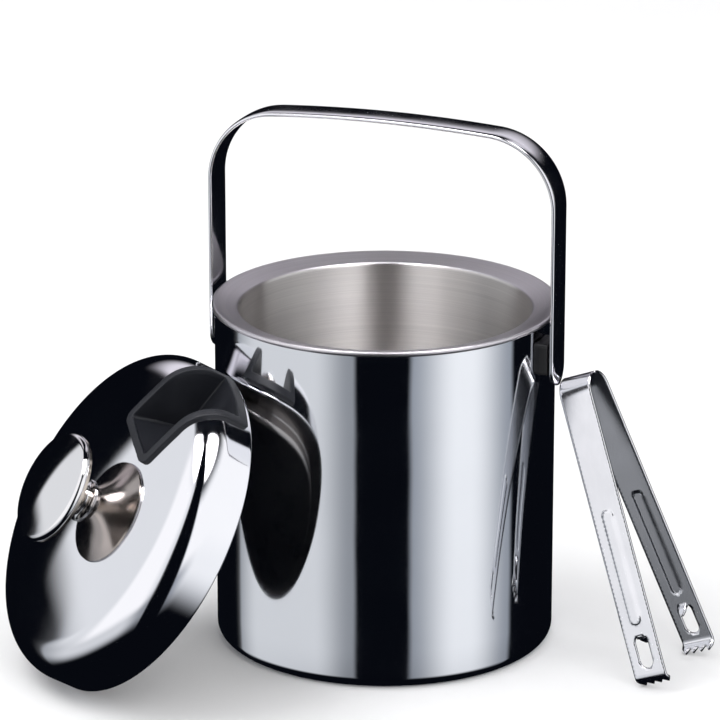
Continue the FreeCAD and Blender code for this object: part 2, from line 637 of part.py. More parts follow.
def main():
    os.makedirs("parts", exist_ok=True)
    write("outer_shell", outer_shell())
    write("inner_liner", inner_liner())
    write("base_plate", base_plate())
    for side in ("left", "right"):
        write("pivot_block_" + side, pivot_block(side))
        write("block_screws_" + side, block_screws(side))
        write("pivot_pin_" + side, pivot_pin(side))
        write("pivot_washer_" + side, pivot_washer(side))
    write("bail_strap", bail_strap())
    write("lid_dome", lean_lid(lid_dome()))
    write("lid_pan", lean_lid(lid_pan()))
    write("tongs_pocket", lean_lid(tongs_pocket()))
    write("knob_base", lean_lid(knob_base()))
    write("knob_neck", lean_lid(knob_neck()))
    write("knob_shell", lean_lid(knob_shell()))
    write("knob_cap", lean_lid(knob_cap()))
    write("knob_nut", lean_lid(knob_nut()))
    write("knob_washer", lean_lid(knob_washer()))
    write("knob_screw", lean_lid(knob_screw()))
    arm = tongs_arm()
    write("tongs_far_arm", lean_tongs(arm))
    write("tongs_near_arm", near_arm(arm))


main()
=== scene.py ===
from bisect import bisect_left
from math import atan2, ceil, cos, hypot, pi, radians, sin, sqrt, tan

import bmesh
import bpy
from mathutils import Matrix, Vector
from mathutils.geometry import delaunay_2d_cdt


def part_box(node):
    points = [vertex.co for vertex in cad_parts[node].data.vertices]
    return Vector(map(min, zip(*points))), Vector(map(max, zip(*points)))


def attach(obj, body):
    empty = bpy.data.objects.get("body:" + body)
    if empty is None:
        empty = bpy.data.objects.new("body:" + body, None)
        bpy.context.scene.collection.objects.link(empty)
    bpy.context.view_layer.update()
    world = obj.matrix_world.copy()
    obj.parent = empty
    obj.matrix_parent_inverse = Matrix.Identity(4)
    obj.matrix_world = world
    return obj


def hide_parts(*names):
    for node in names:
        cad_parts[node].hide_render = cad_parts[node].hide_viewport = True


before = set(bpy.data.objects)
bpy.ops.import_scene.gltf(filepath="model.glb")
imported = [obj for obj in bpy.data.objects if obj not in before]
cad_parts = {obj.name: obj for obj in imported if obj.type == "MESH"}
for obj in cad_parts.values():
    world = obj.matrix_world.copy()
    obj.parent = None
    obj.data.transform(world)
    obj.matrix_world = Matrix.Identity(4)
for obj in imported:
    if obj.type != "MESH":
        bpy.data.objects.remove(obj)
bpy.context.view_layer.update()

MM = 0.001

# ---- bucket, metres ----
BODY_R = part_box("outer_shell")[1].x
SHEET = 0.8 * MM
RIM_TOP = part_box("inner_liner")[1].z
BEAD_R = 1.1 * MM
BEAD_OUT = 1.2 * MM
SHELL_GAP = 0.2 * MM
SHELL_TOP = RIM_TOP - 2 * BEAD_R - SHELL_GAP
FOOT_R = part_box("base_plate")[1].x
FOOT_EASE = 0.3 * MM
CORNER_R = 5 * MM
BOWL_R = 60 * MM
BOWL_FLOOR = 9 * MM
BOWL_CORNER = 9 * MM
LIP_DROP = 2.2 * MM
LIP_OUTSET = 1.6 * MM
LIP_ROLL = 1.8 * MM
WALL_RINGS = 12
ROUND_SEGMENTS = 384
TURNED_CREASE = radians(32)

# ---- bail ----
STRAP_T = 2.0 * MM
BAIL_LOW, BAIL_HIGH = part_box("bail_strap")
BAIL_SPAN = BAIL_HIGH.x
BAIL_W = BAIL_HIGH.y - BAIL_LOW.y
BAIL_TOP = BAIL_HIGH.z
BAIL_CORNER = 31 * MM
BAIL_ARCH = 1.5 * MM
STRAP_EASE = 0.75 * MM
STRAP_CROWN = 0.6 * MM
BAIL_STEP = 3 * MM
BLOCK_EASE = 0.35 * MM
BAIL_CREASE = radians(50)

# ---- lid, in its own frame with z along its axis ----
LID_R = 70.5 * MM
LID_SKIRT = 11.8 * MM
SHOULDER_R = 14.8 * MM
CROWN_SLOPE = radians(9.5)
PAN_R = 58.4 * MM
PAN_DROP = 5 * MM
PAN_CORNER = 3 * MM
HEM_H = 1.8 * MM
HEM_ROUND = 0.8 * MM
SCREW_R = 2.6 * MM
DOME_STEP = 0.8 * MM
DOME_SEGMENTS = 512
SKIRT_RINGS = 13
FRAME_IN = 33.4 * MM
FRAME_HALF = 16.8 * MM
FRAME_W = 3.6 * MM
FRAME_T = 1.5 * MM
FRAME_LOW = 2.8 * MM
FRAME_ROUND = 4.0 * MM
FRAME_LENGTH = 55 * MM
FRAME_SINK = 0.6 * MM
FRAME_EASE = 0.5 * MM
POCKET_FLOOR = 7.4 * MM
POCKET_ROUND = 1.6 * MM
POCKET_SLOPE = 5.7 * MM
POCKET_SLOPE_DEPTH = 4 * MM
POCKET_END = 68.98 * MM
POCKET_END_R = 70.2 * MM
POCKET_FLOOR_ROUND = 0.8 * MM
LID_TILT = radians(58.6)
LID_AZIMUTH = radians(-134)
LID_SPIN = radians(159.2)
LID_STAND_OFF = 106.9 * MM
LID_STAND_AZIMUTH = radians(-134.25)
FLOOR_GAP = 0.03 * MM
LID_LIFT = (LID_R - HEM_ROUND) * sin(LID_TILT) + HEM_ROUND * (1 - cos(LID_TILT)) + FLOOR_GAP
LID_SPOT = Vector((LID_STAND_OFF * cos(LID_STAND_AZIMUTH),
                   LID_STAND_OFF * sin(LID_STAND_AZIMUTH), LID_LIFT))
LID_TURN = (Matrix.Rotation(LID_AZIMUTH, 4, "Z") @ Matrix.Rotation(LID_TILT, 4, "Y")
            @ Matrix.Rotation(LID_SPIN, 4, "Z"))
LID_PLACE = Matrix.Translation(LID_SPOT) @ LID_TURN

# ---- knob ----
KNOB_R = 23.4 * MM
KNOB_FOOT_R = 9 * MM
KNOB_NECK_R = 6.4 * MM
KNOB_FOOT_TOP = 33.4 * MM
KNOB_NECK_TOP = 34.6 * MM
KNOB_SEAM = 45.2 * MM
KNOB_TOP = 50.4 * MM
KNOB_ROUND = 2.2 * MM
KNOB_RIM = 0.8 * MM
KNOB_SHEET = 1 * MM
KNOB_BELL_R = KNOB_R * 0.58
KNOB_BELL_RISE = 7.1 * MM
KNOB_BELL_LIP = 1.4 * MM
KNOB_SEAM_GAP = 0.05 * MM

# ---- tongs, in their own frame with z up the arms ----
TONGS_LENGTH = 127.5 * MM
TONGS_W = 14.6 * MM
TONGS_T = 1 * MM
BOW_R = 7.9 * MM
SPLAY = radians(7.4)
TIP_BEND = radians(42)
TIP_BEND_R = 2.2 * MM
TIP_LENGTH = 5.5 * MM
TOOTH_COUNT = 4
TOOTH_DEPTH = 2.5 * MM
TOOTH_TRIM = 0.22 * MM
TOOTH_FLAT = 0.18 * MM
TOOTH_ROOT = 0.06 * MM
ARM_STEP = 1.0 * MM
ARM_COLUMNS = 14
RIB_W = 5.2 * MM
RIB_RISE = 0.3 * MM
RIB_RAMP = 0.45 * MM
RIB_ENDS = (22 * MM, 70 * MM)
HOLE_W = 6.2 * MM
HOLE_ENDS = (4 * MM, 17.5 * MM)
PRONG_W = 3.6 * MM
PRONG_LENGTH = 6 * MM
PRONG_BEND = radians(50)
PRONG_BEND_RUN = 2 * MM
PRONG_ROOT = 0.4 * MM
PRONG_ROWS = 8
PRONG_COLUMNS = 4
PRONG_TAPER_ROW = 5
PRONG_TAPER = 0.22
TONGS_YAW = radians(-8)
TONGS_LEAN = radians(21.8)
TONGS_HEAD_X = 83.2 * MM
TONGS_HEAD_Y = 2.5 * MM
TONGS_TURN = Matrix.Rotation(TONGS_YAW, 4, "Z") @ Matrix.Rotation(-TONGS_LEAN, 4, "Y")
TONGS_TOP = TONGS_TURN @ Vector((0, 0, TONGS_LENGTH))
TONGS_LIFT = (TONGS_W / 2 - TONGS_W / TOOTH_COUNT / 2) * sin(TONGS_LEAN) + FLOOR_GAP
TONGS_SPOT = Vector((TONGS_HEAD_X - TONGS_TOP.x, TONGS_HEAD_Y - TONGS_TOP.y, TONGS_LIFT))
TONGS_PLACE = Matrix.Translation(TONGS_SPOT) @ TONGS_TURN

# ---- camera: angles in radians, metres, and the lens in mm ----
CAMERA_AZIMUTH = 0.367
CAMERA_RANGE = 1.6924
CAMERA_HEIGHT = 0.6672
CAMERA_DIP = 0.314
CAMERA_YAW = -0.0061
CAMERA_LENS = 216.1
VIEW_AZIMUTH = CAMERA_AZIMUTH - pi / 2

# ---- grain of the finishes: depth of the relief, and noise cells to the metre ----
POLISH_DEPTH = 0.0015 * MM
POLISH_LINES = (900, 900, 2600)
SHEET_WAVE = 0.4 * MM
RING_DEPTH = 0.004 * MM
RING_HAIR = (11.0, 3200.0)
RING_BANDS = (6.0, 700.0)
SATIN_DEPTH = 0.006 * MM
SATIN_GRAIN = 3800.0
STRIP_DEPTH = 0.003 * MM
STRIP_WAVE = 0.12 * MM
STRIP_HAIR = 2400.0
STRIP_ALONG = 20.0
MOULD_GRAIN = 2600.0
QUARTER_TURN = 0.25


# ---------------------------------------------------------------- nodes and materials
class Shader:
    """A material's node tree with short ways to add and link nodes."""

    def __init__(self, tree):
        self.tree = tree

    def node(self, kind, inputs=None, **settings):
        made = self.tree.nodes.new(kind)
        for key, value in settings.items():
            setattr(made, key, value)
        for key, value in (inputs or {}).items():
            self.set(made, key, value)
        return made

    def set(self, node, key, value):
        if isinstance(value, bpy.types.NodeSocket):
            self.tree.links.new(value, node.inputs[key])
        else:
            node.inputs[key].default_value = value

    def math(self, operation, a, b=0.0):
        return self.node("ShaderNodeMath", {0: a, 1: b}, operation=operation).outputs[0]

    def noise(self, vector, scale, detail=2.0, roughness=0.5):
        inputs = {"Vector": vector, "Scale": scale, "Detail": detail, "Roughness": roughness}
        return self.node("ShaderNodeTexNoise", inputs).outputs["Fac"]

    def remap(self, value, low, high, to_low, to_high, smooth=False):
        made = self.node("ShaderNodeMapRange", {"Value": value, "From Min": low, "From Max": high,
                                                "To Min": to_low, "To Max": to_high})
        made.interpolation_type = "SMOOTHSTEP" if smooth else "LINEAR"
        return made.outputs["Result"]

    def blend(self, factor, a, b):
        made = self.node("ShaderNodeMix", data_type="RGBA")
        for key, value in ((0, factor), (6, a), (7, b)):
            self.set(made, key, value)
        return made.outputs[2]

    def stretch(self, vector, scale):
        return self.node("ShaderNodeMapping", {"Vector": vector, "Scale": scale}).outputs["Vector"]

    def bump(self, height, distance, strength=1.0, normal=None):
        inputs = {"Height": height, "Distance": distance, "Strength": strength}
        if normal is not None:
            inputs["Normal"] = normal
        return self.node("ShaderNodeBump", inputs).outputs["Normal"]


def new_material(name, metallic, roughness, colour):
    """A material with its shader, its surface node and the piece's own coordinates."""
    made = bpy.data.materials.new(name)
    made.use_nodes = True
    shader = Shader(made.node_tree)
    surface = made.node_tree.nodes["Principled BSDF"]
    surface.inputs["Metallic"].default_value = metallic
    surface.inputs["Roughness"].default_value = roughness
    surface.inputs["Base Color"].default_value = (*colour, 1)
    made.diffuse_color = (*colour, 1)
    place = shader.node("ShaderNodeTexCoord").outputs["Object"]
    return made, shader, surface, place


def mirror_steel(name, tint, rough=(0.035, 0.085)):
    """Polished sheet: slight waves, cloudy fingerprints and very fine polishing lines."""
    made, s, surface, place = new_material(name, 1.0, rough[0], tint)
    cloud = s.noise(place, 38.0, 4.0, 0.6)
    fine = s.noise(s.stretch(place, POLISH_LINES), 1.0, 2.0)
    roughness = s.remap(cloud, 0.35, 0.72, rough[0], rough[1])
    roughness = s.math("ADD", roughness, s.remap(fine, 0.3, 0.7, -0.008, 0.012))
    s.set(surface, "Roughness", roughness)
    dull = tuple(c * 0.96 for c in tint)
    s.set(surface, "Base Color", s.blend(cloud, (*tint, 1), (*dull, 1)))
    swell = s.bump(s.noise(place, 24.0, 1.0), SHEET_WAVE, 0.5)
    s.set(surface, "Normal", s.bump(fine, POLISH_DEPTH, 0.4, swell))
    return made


def ring_lines(s, axes, ring, cells):
    """Noise coordinates that give lines round the Z axis, with few cells around and many across."""
    around, across = cells
    parts = {0: s.math("MULTIPLY", axes[0], around), 1: s.math("MULTIPLY", axes[1], around),
             2: s.math("MULTIPLY", ring, across)}
    return s.node("ShaderNodeCombineXYZ", parts).outputs[0]


def brushed_rings(name, tint, rough, anisotropy):
    """Steel brushed round the Z axis: rings on walls and on flat floors alike."""
    made, s, surface, place = new_material(name, 1.0, rough, tint)
    axes = s.node("ShaderNodeSeparateXYZ", {"Vector": place}).outputs
    radius = s.math("SQRT", s.math("ADD", s.math("POWER", axes[0], 2.0), s.math("POWER", axes[1], 2.0)))
    ring = s.math("ADD", axes[2], radius)
    hair = s.noise(ring_lines(s, axes, ring, RING_HAIR), 1.0, 3.0, 0.65)
    band = s.noise(ring_lines(s, axes, ring, RING_BANDS), 1.0, 2.0)
    mixed = s.math("ADD", s.math("MULTIPLY", hair, 0.65), s.math("MULTIPLY", band, 0.35))
    s.set(surface, "Roughness", s.remap(mixed, 0.3, 0.7, rough - 0.06, rough + 0.08))
    dark = tuple(c * 0.86 for c in tint)
    s.set(surface, "Base Color", s.blend(s.remap(mixed, 0.35, 0.65, 0.0, 1.0), (*dark, 1), (*tint, 1)))
    s.set(surface, "Normal", s.bump(mixed, RING_DEPTH, 0.6))
    surface.inputs["Anisotropic"].default_value = anisotropy
    tangent = s.node("ShaderNodeTangent", direction_type="RADIAL", axis="Z").outputs[0]
    s.set(surface, "Tangent", tangent)
    surface.inputs["Anisotropic Rotation"].default_value = QUARTER_TURN
    return made


def satin_steel(name, tint, rough):
    """Even, slightly grainy satin."""
    made, s, surface, place = new_material(name, 1.0, rough, tint)
    grain = s.noise(place, SATIN_GRAIN, 2.0)
    cloud = s.noise(place, 45.0, 3.0)
    s.set(surface, "Roughness", s.remap(s.math("ADD", grain, cloud), 0.7, 1.3, rough - 0.05, rough + 0.06))
    dark = tuple(c * 0.93 for c in tint)
    s.set(surface, "Base Color", s.blend(cloud, (*dark, 1), (*tint, 1)))
    s.set(surface, "Normal", s.bump(grain, SATIN_DEPTH, 0.35))
    return made


def lengthwise_steel(name, tint, rough, along, line_depth=STRIP_DEPTH):
    """Polished strip with faint lines along one axis of the piece and small scuffs."""
    made, s, surface, place = new_material(name, 1.0, rough, tint)
    scales = [STRIP_ALONG if axis == along else STRIP_HAIR for axis in "XYZ"]
    hair = s.noise(s.stretch(place, scales), 1.0, 2.0)
    cloud = s.noise(place, 60.0, 4.0, 0.6)
    roughness = s.remap(cloud, 0.35, 0.7, rough - 0.02, rough + 0.05)
    s.set(surface, "Roughness", s.math("ADD", roughness, s.remap(hair, 0.3, 0.7, -0.02, 0.03)))
    dark = tuple(c * 0.93 for c in tint)
    s.set(surface, "Base Color", s.blend(cloud, (*tint, 1), (*dark, 1)))
    swell = s.bump(s.noise(place, 40.0, 1.0), STRIP_WAVE, 0.4)
    s.set(surface, "Normal", s.bump(hair, line_depth, 0.5, swell))
    return made


def moulded_plastic(name, tint, rough, grain_depth):
    """Fine spark-eroded grain, uneven gloss and paler scuffs."""
    made, s, surface, place = new_material(name, 0.0, rough, tint)
    grain = s.noise(place, MOULD_GRAIN, 3.0, 0.6)
    cloud = s.noise(place, 70.0, 3.0)
    s.set(surface, "Roughness", s.remap(cloud, 0.3, 0.7, rough - 0.06, rough + 0.1))
    pale = tuple(min(1, c * 1.5 + 0.006) for c in tint)
    s.set(surface, "Base Color", s.blend(s.remap(cloud, 0.4, 0.75, 0.0, 0.6), (*tint, 1), (*pale, 1)))
    s.set(surface, "Normal", s.bump(grain, grain_depth, 0.5))
    surface.inputs["Specular IOR Level"].default_value = 0.32
    return made


# ---------------------------------------------------------------- mesh helpers
def add_piece(name, mesh, body, material, place=Matrix.Identity(4), replaces=()):
    """Puts a mesh in the scene with its materials, on a body, in the place of the nodes it replaces."""
    made = bpy.data.objects.new(name, mesh)
    bpy.context.scene.collection.objects.link(made)
    made.matrix_world = place
    for m in material if isinstance(material, (list, tuple)) else [material]:
        mesh.materials.append(m)
    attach(made, body)
    if replaces:
        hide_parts(*replaces)
    return made


def finish_mesh(name, bm, smooth=True):
    bmesh.ops.recalc_face_normals(bm, faces=bm.faces)
    mesh = bpy.data.meshes.new(name)
    bm.to_mesh(mesh)
    bm.free()
    for polygon in mesh.polygons:
        polygon.use_smooth = smooth
    return mesh


def sharpen(bm, limit):
    """Edges that turn by more than the limit stay crisp under smooth shading."""
    bm.normal_update()
    for edge in bm.edges:
        if len(edge.link_faces) == 2 and edge.calc_face_angle(0) > limit:
            edge.smooth = False


def arc_points(centre, radius, start, end, step=radians(7)):
    """Points on an arc with both ends, no further apart than the step."""
    count = max(2, ceil(abs(end - start) / step))
    angles = [start + (end - start) * k / count for k in range(count + 1)]
    return [(centre[0] + radius * cos(a), centre[1] + radius * sin(a)) for a in angles]


def eased(points, closed=True):
    """Outline from (r, z, corner radius) with each corner turned into an arc."""
    made = []
    count = len(points)
    for k, (r, z, radius) in enumerate(points):
        here = Vector((r, z))
        if radius == 0 or (not closed and k in (0, count - 1)):
            made.append((r, z))
            continue
        before = Vector(points[k - 1][:2]) - here
        after = Vector(points[(k + 1) % count][:2]) - here
        turn = before.angle(after)
        reach = min(radius / tan(turn / 2), before.length * 0.49, after.length * 0.49)
        true_radius = reach * tan(turn / 2)
        start = here + before.normalized() * reach
        end = here + after.normalized() * reach
        inwards = (before.normalized() + after.normalized()).normalized()
        centre = here + inwards * (true_radius / sin(turn / 2))
        a0 = atan2(start.y - centre.y, start.x - centre.x)
        a1 = atan2(end.y - centre.y, end.x - centre.x)
        if a1 - a0 > pi:
            a1 -= 2 * pi
        if a0 - a1 > pi:
            a1 += 2 * pi
        made += arc_points(centre, true_radius, a0, a1, radians(15))
    return made


def divided(points, longest):
    """The same line with long runs divided."""
    made = [points[0]]
    for a, b in zip(points, points[1:]):
        parts = max(1, ceil(hypot(b[0] - a[0], b[1] - a[1]) / longest))
        for k in range(1, parts + 1):
            made.append((a[0] + (b[0] - a[0]) * k / parts, a[1] + (b[1] - a[1]) * k / parts))
    return made


def bowed(start, bow, end, steps):
    """Points on the curve from start to end that is drawn towards bow, both ends included."""
    shares = [k / steps for k in range(steps + 1)]
    return [start * (1 - t) ** 2 + bow * 2 * t * (1 - t) + end * t ** 2 for t in shares]


def lathe_bmesh(profile, closed, segments):
    """The (r, z) profile turned round the Z axis; a point on the axis is one vertex."""
    bm = bmesh.new()
    rings = []
    for r, z in profile:
        if r < 1e-7:
            rings.append([bm.verts.new((0, 0, z))])
        else:
            rings.append([bm.verts.new((r * cos(2 * pi * k / segments), r * sin(2 * pi * k / segments), z))
                          for k in range(segments)])
    pairs = list(zip(rings, rings[1:]))
    if closed:
        pairs.append((rings[-1], rings[0]))
    for low, high in pairs:
        if len(low) == 1 and len(high) == 1:
            continue
        for k in range(segments):
            n = (k + 1) % segments
            if len(low) == 1:
                bm.faces.new((low[0], high[k], high[n]))
            elif len(high) == 1:
                bm.faces.new((low[k], high[0], low[n]))
            else:
                bm.faces.new((low[k], high[k], high[n], low[n]))
    return bm


def lathe(name, profile, closed=True, segments=256):
    bm = lathe_bmesh(profile, closed, segments)
    sharpen(bm, TURNED_CREASE)
    return finish_mesh(name, bm)


# ---------------------------------------------------------------- bucket
def shell_mesh():
    """The polished outer wall, rounded in at the foot."""
    inner = BODY_R - SHEET
    corner = (BODY_R - CORNER_R, CORNER_R)
    levels = [SHELL_TOP, SHELL_TOP - SHEET / 2]
    levels += [SHELL_TOP + (CORNER_R - SHELL_TOP) * k / WALL_RINGS for k in range(1, WALL_RINGS + 1)]
    outside = [(BODY_R, z) for z in levels] + arc_points(corner, CORNER_R, 0, -pi / 2)[1:]
    foot = [(FOOT_R + FOOT_EASE, 0), (FOOT_R, FOOT_EASE), (FOOT_R, SHEET)]
    inside = arc_points(corner, CORNER_R - SHEET, -pi / 2, 0) + [(inner, SHELL_TOP)]
    return lathe("outer_shell_skin", outside + foot + inside, segments=ROUND_SEGMENTS)


def bowl_outlines():
    """The bowl's outline in three stretches: lip, inside and hidden outside."""
    bead_x = BODY_R + BEAD_OUT - BEAD_R
    bead_z = RIM_TOP - BEAD_R
    lip_x = BOWL_R + LIP_OUTSET
    lip_z = RIM_TOP - LIP_DROP
    corner = (BOWL_R - BOWL_CORNER, BOWL_FLOOR + BOWL_CORNER)
    lip = arc_points((bead_x, bead_z), BEAD_R, -pi / 2, pi / 2, radians(10))
    lip += divided([(bead_x, RIM_TOP), (lip_x, lip_z)], 1 * MM)[1:]
    roll_end = Vector((BOWL_R, lip_z - LIP_ROLL))
    bow = Vector((BOWL_R + 0.15 * MM, lip_z - 0.25 * MM))
    roll = bowed(Vector((lip_x, lip_z)), bow, roll_end, 8)
    lip += [tuple(point) for point in roll[1:-1]]
    inside = [tuple(roll_end), (BOWL_R, corner[1])]
    inside += arc_points(corner, BOWL_CORNER, 0, -pi / 2)[1:]
    inside += [(corner[0] * k / 4, BOWL_FLOOR) for k in (3, 2, 1, 0)]
    outside = [(0, BOWL_FLOOR - SHEET), (corner[0], BOWL_FLOOR - SHEET)]
    outside += arc_points(corner, BOWL_CORNER + SHEET, -pi / 2, 0)[1:]
    outside += [(BOWL_R + SHEET, lip_z - 2 * MM), (lip_x + SHEET / 2, lip_z - SHEET)]
    outside += [(BODY_R - 1.5 * SHEET, SHELL_TOP)]
    return lip, inside, outside


def bowl_mesh():
    """Bowl, lip and rolled edge in one, with the lip's faces in the second material."""
    lip, inside, outside = bowl_outlines()
    bm = lathe_bmesh(lip + inside + outside, True, ROUND_SEGMENTS)
    sharpen(bm, TURNED_CREASE)
    for face in bm.faces:
        middle = face.calc_center_median()
        beyond_wall = hypot(middle.x, middle.y) > BOWL_R + 0.3 * MM
        on_lip = middle.z > RIM_TOP - LIP_DROP - 0.5 * MM and beyond_wall
        face.material_index = 1 if on_lip else 0
    return finish_mesh("inner_liner_skin", bm)


# ---------------------------------------------------------------- bail
def bail_path(spacing):
    """Middle line of the strap as (point, outward normal), from the left leg's end to the right one's."""
    half = STRAP_T / 2
    corner_x = BAIL_SPAN - BAIL_CORNER
    arch_r = (corner_x ** 2 + BAIL_ARCH ** 2) / (2 * BAIL_ARCH)
    arch_z = BAIL_TOP - arch_r
    corner_z = arch_z + sqrt((arch_r - BAIL_CORNER) ** 2 - corner_x ** 2)
    meet = atan2(corner_z - arch_z, corner_x)
    low = BAIL_LOW.z
    end_reach = BAIL_W / 2
    leg = corner_z - low
    end_steps = 16
    levels = [low + end_reach * (1 - cos(pi / 2 * k / end_steps)) for k in range(end_steps + 1)]
    steps = ceil((leg - end_reach) / spacing)
    levels += [low + end_reach + (leg - end_reach) * k / steps for k in range(1, steps + 1)]
    points = [((BAIL_SPAN - half, z), (1, 0)) for z in levels]
    steps = ceil(meet * BAIL_CORNER / (spacing * 0.45))
    for k in range(1, steps + 1):
        a = meet * k / steps
        spot = (corner_x + (BAIL_CORNER - half) * cos(a), corner_z + (BAIL_CORNER - half) * sin(a))
        points.append((spot, (cos(a), sin(a))))
    steps = ceil(corner_x / spacing)
    for k in range(1, steps + 1):
        a = meet + (pi / 2 - meet) * k / steps
        points.append((((arch_r - half) * cos(a), arch_z + (arch_r - half) * sin(a)), (cos(a), sin(a))))
    left = [((-x, z), (-nx, nz)) for (x, z), (nx, nz) in points[:-1]]
    return left + points[::-1]


def strap_section():
    """Rounded section (across, out), crowned on the outer face."""
    half_w = BAIL_W / 2
    half_t = STRAP_T / 2
    edge = half_t - STRAP_CROWN
    crown = [(0.8, 0.25), (0.6, 0.10), (0.3, 0.02), (0, 0)]    # share of the half width, drop in mm
    face = [(half_w * share, half_t - drop * MM, 0) for share, drop in crown]
    corners = [(-half_w, -half_t, STRAP_EASE), (half_w, -half_t, STRAP_EASE), (half_w, edge, STRAP_EASE)]
    corners += face + [(-x, z, 0) for x, z, _ in reversed(face[:-1])] + [(-half_w, edge, STRAP_EASE)]
    return eased(corners)


def bail_mesh():
    """The strap's section swept along its path, narrowed to a round end on each leg."""
    section = strap_section()
    bm = bmesh.new()
    rings = []
    reach = BAIL_W / 2
    for (x, z), (nx, nz) in bail_path(BAIL_STEP):
        from_end = z - BAIL_LOW.z
        width = 1.0
        if from_end < reach:
            width = max(0.02, sqrt(max(0, 1 - ((reach - from_end) / reach) ** 2)))
        thick = 1.0 if width > 0.3 else 0.7 + width
        spots = [(x + out * thick * nx, across * width, z + out * thick * nz) for across, out in section]
        rings.append([bm.verts.new(spot) for spot in spots])
    count = len(section)
    for low, high in zip(rings, rings[1:]):
        for k in range(count):
            n = (k + 1) % count
            bm.faces.new((low[k], low[n], high[n], high[k]))
    bm.faces.new(rings[0])
    bm.faces.new(rings[-1])
    sharpen(bm, BAIL_CREASE)
    return finish_mesh("bail_strap_skin", bm)


# ---------------------------------------------------------------- lid
MEET_R = LID_R - SHOULDER_R + SHOULDER_R * sin(CROWN_SLOPE)
MEET_Z = LID_SKIRT + SHOULDER_R * cos(CROWN_SLOPE)
CROWN_R = MEET_R / sin(CROWN_SLOPE)
CROWN_Z = MEET_Z - CROWN_R * cos(CROWN_SLOPE)


def crown_height(r):
    """Height of the lid's crown at a radius."""
    return CROWN_Z + sqrt(CROWN_R ** 2 - r ** 2)


def dome_profile(low_z, step=DOME_STEP):
    """(r, z, normal r, normal z) from the middle of the crown down the skirt to low_z."""
    points = []
    count = ceil(MEET_R / step)
    for k in range(count + 1):
        a = CROWN_SLOPE * k / count
        points.append((CROWN_R * sin(a), CROWN_Z + CROWN_R * cos(a), sin(a), cos(a)))
    count = ceil(SHOULDER_R * (pi / 2 - CROWN_SLOPE) / step)
    for k in range(1, count + 1):
        a = CROWN_SLOPE + (pi / 2 - CROWN_SLOPE) * k / count
        r = LID_R - SHOULDER_R + SHOULDER_R * sin(a)
        points.append((r, LID_SKIRT + SHOULDER_R * cos(a), sin(a), cos(a)))
    if low_z < LID_SKIRT:
        points.append((LID_R, low_z, 1.0, 0.0))
    return points


def dome_mesh():
    """The lid's cap with its rolled hem, a window under the pocket's frame and the screw's hole."""
    profile = [(r, z) for r, z, _, _ in dome_profile(LID_SKIRT)]
    profile += [(LID_R, LID_SKIRT - k * DOME_STEP) for k in range(1, SKIRT_RINGS + 1)]
    profile += arc_points((LID_R - HEM_ROUND, HEM_ROUND), HEM_ROUND, 0, -pi, radians(15))
    profile += [(LID_R - 2 * HEM_ROUND, HEM_H)]
    bm = lathe_bmesh(profile, False, DOME_SEGMENTS)
    under_frame = FRAME_W / 2
    gone = []
    for face in bm.faces:
        x, y, z = face.calc_center_median()
        in_width = x > FRAME_IN + under_frame and abs(y) < FRAME_HALF - under_frame
        in_window = in_width and z > FRAME_LOW + 2 * MM
        if in_window or hypot(x, y) < SCREW_R + 0.1 * MM:
            gone.append(face)
    bmesh.ops.delete(bm, geom=gone, context="FACES")
    return finish_mesh("lid_dome_skin", bm)


def thicken(obj, thickness, offset):
    """Gives a surface its sheet thickness for good."""
    modifier = obj.modifiers.new("sheet", "SOLIDIFY")
    modifier.thickness = thickness
    modifier.offset = offset
    modifier.use_even_offset = True
    apply_modifiers(obj)


def apply_modifiers(obj):
    graph = bpy.context.evaluated_depsgraph_get()
    mesh = bpy.data.meshes.new_from_object(obj.evaluated_get(graph))
    old = obj.data
    obj.modifiers.clear()
    obj.data = mesh
    bpy.data.meshes.remove(old)
    mesh.name = obj.name


def pan_mesh():
    """The lid's closing pan with the plug that sits in the bucket's mouth."""
    top = HEM_H + SHEET
    inner = PAN_R - SHEET
    corner = (PAN_R - PAN_CORNER, -PAN_DROP + PAN_CORNER)
    outline = [(0, -PAN_DROP)] + arc_points(corner, PAN_CORNER, -pi / 2, 0)
    edge = LID_R - SHEET - 0.1 * MM
    outline += [(PAN_R, HEM_H - 0.5 * MM), (PAN_R + 0.5 * MM, HEM_H)]
    outline += [(edge, HEM_H), (edge, top), (inner, top)]
    outline += arc_points(corner, PAN_CORNER - SHEET, 0, -pi / 2) + [(0, -PAN_DROP + SHEET)]
    return lathe("lid_pan_skin", outline)


DOME_LINES = {}


def dome_line(y):
    """The dome's section in the plane at y under the frame, as points and the lengths to them."""
    key = round(y, 6)
    if key not in DOME_LINES:
        line = []
        for r, z, nr, nz in dome_profile(FRAME_LOW, 0.25 * MM):
            if r * r - y * y >= FRAME_IN ** 2:
                line.append((sqrt(r * r - y * y), z, nr, nz, r))
        lengths = [0.0]
        for a, b in zip(line, line[1:]):
            lengths.append(lengths[-1] + hypot(b[0] - a[0], b[1] - a[1]))
        DOME_LINES[key] = (line, lengths)
    return DOME_LINES[key]


def dome_point(y, share):
    """Point and normal on the dome in the plane at y, at a share of the way from the frame's inner
    edge to its outer edge."""
    line, lengths = dome_line(y)
    want = min(max(share, 0), 1) * lengths[-1]
    k = min(max(1, bisect_left(lengths, want)), len(line) - 1)
    t = (want - lengths[k - 1]) / max(1e-9, lengths[k] - lengths[k - 1])
    x, z, nr, nz, r = (line[k - 1][i] + (line[k][i] - line[k - 1][i]) * t for i in range(5))
    return Vector((x, y, z)), Vector((nr * x / r, nr * y / r, nz)).normalized()


